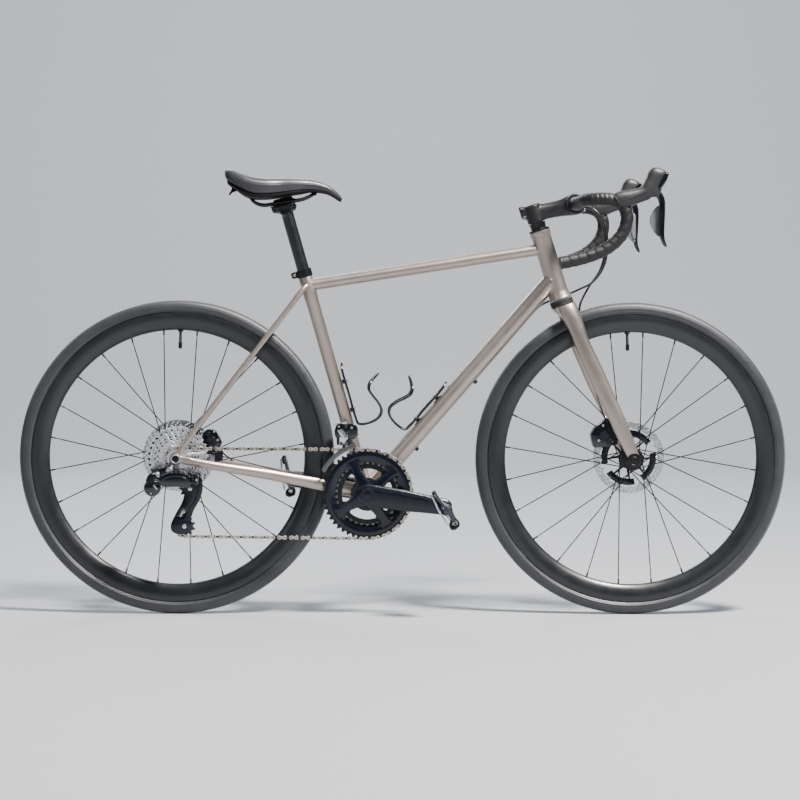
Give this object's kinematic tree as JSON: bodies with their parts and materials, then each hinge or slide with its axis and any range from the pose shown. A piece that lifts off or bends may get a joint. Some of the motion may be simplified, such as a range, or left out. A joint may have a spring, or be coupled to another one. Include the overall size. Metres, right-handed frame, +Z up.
{
  "type": "road bicycle",
  "caption": "Drop-bar road bicycle with a metal-tube diamond frame, straight fork, disc brakes, deep rims, two-ring crankset, derailleurs and wire bottle cages.",
  "frame": {"origin": "on the ground, midway between the two tyre contacts", "axes": "+X forward, +Y to the rider's left, +Z up; the drive side is at -Y"},
  "size_m": [1.686, 0.446, 0.972],
  "materials": {
    "titanium": "satin bead-blasted titanium",
    "black_alloy": "black anodised",
    "gloss_black": "gloss blue-black composite",
    "carbon": "satin carbon composite",
    "tyre_rubber": "satin black tyre",
    "soft_rubber": "matte black rubber and wrapped tape",
    "steel": "bright brushed steel",
    "leather": "black satin cover"
  },
  "bodies": {
    "frame": {"head_tube": "titanium", "top_tube": "titanium", "down_tube": "titanium", "seat_tube": "titanium", "chain_stay_right": "titanium", "chain_stay_left": "titanium", "seat_stay_right": "titanium", "seat_stay_left": "titanium", "seat_collar": "black_alloy", "seat_post": "carbon", "saddle_clamp": "black_alloy", "saddle_rails": "black_alloy", "saddle": "leather", "bottle_cage_rear": "steel", "bottle_cage_front": "steel", "headset_lower_cup": "black_alloy", "headset_upper_cup": "black_alloy", "rear_brake_caliper": "black_alloy", "rear_brake_hose": "soft_rubber", "rear_thru_axle": "black_alloy", "bottom_bracket": "black_alloy", "chain": "steel", "front_derailleur": "gloss_black"},
    "steering": {"fork": "titanium", "stem": "black_alloy", "handlebar": "carbon", "bar_tape_right": "soft_rubber", "bar_tape_left": "soft_rubber", "hood_right": "soft_rubber", "hood_left": "soft_rubber", "front_brake_hose": "soft_rubber", "front_brake_caliper": "black_alloy", "front_thru_axle": "black_alloy"},
    "brake_lever_right": {"brake_lever_right": "gloss_black"},
    "brake_lever_left": {"brake_lever_left": "gloss_black"},
    "shift_paddle_right": {"shift_paddle_right": "gloss_black"},
    "shift_paddle_left": {"shift_paddle_left": "gloss_black"},
    "front_wheel": {"front_tyre": "tyre_rubber", "front_rim": "carbon", "front_hub": "black_alloy", "front_rotor": "steel"},
    "rear_wheel": {"rear_tyre": "tyre_rubber", "rear_rim": "carbon", "rear_hub": "black_alloy", "rear_rotor": "steel"},
    "cassette": {"cassette": "steel"},
    "crank": {"crank_arm_right": "gloss_black", "crank_arm_left": "gloss_black", "chainring_outer": "black_alloy", "chainring_inner": "steel"},
    "pedal_right": {"pedal_right": "black_alloy"},
    "pedal_left": {"pedal_left": "black_alloy"},
    "front_derailleur_cage": {"front_derailleur_cage": "steel"},
    "rear_derailleur_knuckle": {"rear_derailleur_knuckle": "gloss_black"},
    "rear_derailleur_outer_link": {"rear_derailleur_outer_link": "gloss_black"},
    "rear_derailleur_inner_link": {"rear_derailleur_inner_link": "gloss_black"},
    "rear_derailleur_cage_knuckle": {"rear_derailleur_cage_knuckle": "gloss_black"},
    "rear_derailleur_cage": {"rear_derailleur_cage": "gloss_black"},
    "guide_pulley": {"guide_pulley": "gloss_black"},
    "tension_pulley": {"tension_pulley": "gloss_black"}
  },
  "joints": [
    {"name": "steering_turn", "type": "hinge", "parent": "frame", "child": "steering", "pos_m": [0.31941, 0, 0.762], "axis": [-0.304, 0, 0.9527], "range_deg": [-70, 70], "deforming": ["rear_brake_hose"]},
    {"name": "front_wheel_spin", "type": "hinge", "parent": "steering", "child": "front_wheel", "pos_m": [0.499, 0, 0.344], "axis": [0, 1, 0], "continuous": true},
    {"name": "rear_wheel_spin", "type": "hinge", "parent": "frame", "child": "rear_wheel", "pos_m": [-0.499, 0, 0.344], "axis": [0, 1, 0], "continuous": true},
    {"name": "crank_turn", "type": "hinge", "parent": "frame", "child": "crank", "pos_m": [-0.083, 0, 0.267], "axis": [0, 1, 0], "continuous": true},
    {"name": "cassette_spin", "type": "hinge", "parent": "frame", "child": "cassette", "pos_m": [-0.499, 0, 0.344], "axis": [0, 1, 0], "continuous": true},
    {"name": "pedal_right_spin", "type": "hinge", "parent": "crank", "child": "pedal_right", "pos_m": [0.08747, -0.128, 0.24061], "axis": [0, 1, 0], "continuous": true},
    {"name": "pedal_left_spin", "type": "hinge", "parent": "crank", "child": "pedal_left", "pos_m": [-0.25347, 0.128, 0.29339], "axis": [0, 1, 0], "continuous": true},
    {"name": "brake_lever_right_pull", "type": "hinge", "parent": "steering", "child": "brake_lever_right", "pos_m": [0.521, -0.205, 0.919], "axis": [0, 1, 0], "range_deg": [0, 20], "stiffness_Nm_per_rad": 0.4},
    {"name": "brake_lever_left_pull", "type": "hinge", "parent": "steering", "child": "brake_lever_left", "pos_m": [0.521, 0.205, 0.919], "axis": [0, 1, 0], "range_deg": [0, 20], "stiffness_Nm_per_rad": 0.4},
    {"name": "shift_paddle_right_push", "type": "hinge", "parent": "brake_lever_right", "child": "shift_paddle_right", "pos_m": [0.53, -0.197, 0.856], "axis": [0, 0, -1], "range_deg": [0, 10], "stiffness_Nm_per_rad": 0.1},
    {"name": "shift_paddle_left_push", "type": "hinge", "parent": "brake_lever_left", "child": "shift_paddle_left", "pos_m": [0.53, 0.197, 0.856], "axis": [0, 0, 1], "range_deg": [0, 10], "stiffness_Nm_per_rad": 0.1},
    {"name": "front_derailleur_swing", "type": "hinge", "parent": "frame", "child": "front_derailleur_cage", "pos_m": [-0.135, -0.042, 0.377], "axis": [1, 0, 0], "range_deg": [0, 12]},
    {"name": "rear_derailleur_mount_turn", "type": "hinge", "parent": "frame", "child": "rear_derailleur_knuckle", "pos_m": [-0.51, -0.088, 0.321], "axis": [0, 1, 0], "range_deg": [0, 12], "stiffness_Nm_per_rad": 0.8, "springref_deg": -8.59},
    {"name": "rear_derailleur_shift", "type": "hinge", "parent": "rear_derailleur_knuckle", "child": "rear_derailleur_outer_link", "pos_m": [-0.524, -0.107, 0.298], "axis": [0, 0.5736, 0.8192], "range_deg": [0, 44]},
    {"name": "rear_derailleur_inner_link_turn", "type": "hinge", "parent": "rear_derailleur_knuckle", "child": "rear_derailleur_inner_link", "pos_m": [-0.528, -0.094, 0.298], "axis": [0, 0.5736, 0.8192], "range_deg": [0, 44]},
    {"name": "rear_derailleur_cage_knuckle_turn", "type": "hinge", "parent": "rear_derailleur_outer_link", "child": "rear_derailleur_cage_knuckle", "pos_m": [-0.468, -0.107, 0.3], "axis": [0, 0.5736, 0.8192], "range_deg": [-44, 0]},
    {"name": "rear_derailleur_cage_turn", "type": "hinge", "parent": "rear_derailleur_cage_knuckle", "child": "rear_derailleur_cage", "pos_m": [-0.467, -0.075, 0.303], "axis": [0, 1, 0], "range_deg": [-55, 35], "stiffness_Nm_per_rad": 0.3, "deforming": ["chain"]},
    {"name": "guide_pulley_spin", "type": "hinge", "parent": "rear_derailleur_cage", "child": "guide_pulley", "pos_m": [-0.46757, -0.066, 0.27992], "axis": [0, 1, 0], "continuous": true},
    {"name": "tension_pulley_spin", "type": "hinge", "parent": "rear_derailleur_cage", "child": "tension_pulley", "pos_m": [-0.47952, -0.066, 0.19802], "axis": [0, 1, 0], "continuous": true}
  ],
  "couplings": [
    {"joint": "cassette_spin", "follows": "crank_turn", "ratio": 4.3636},
    {"joint": "tension_pulley_spin", "follows": "crank_turn", "ratio": 4.3636},
    {"joint": "guide_pulley_spin", "follows": "crank_turn", "ratio": -4.3636},
    {"joint": "rear_derailleur_inner_link_turn", "follows": "rear_derailleur_shift", "ratio": 1},
    {"joint": "rear_derailleur_cage_knuckle_turn", "follows": "rear_derailleur_shift", "ratio": -1}
  ]
}
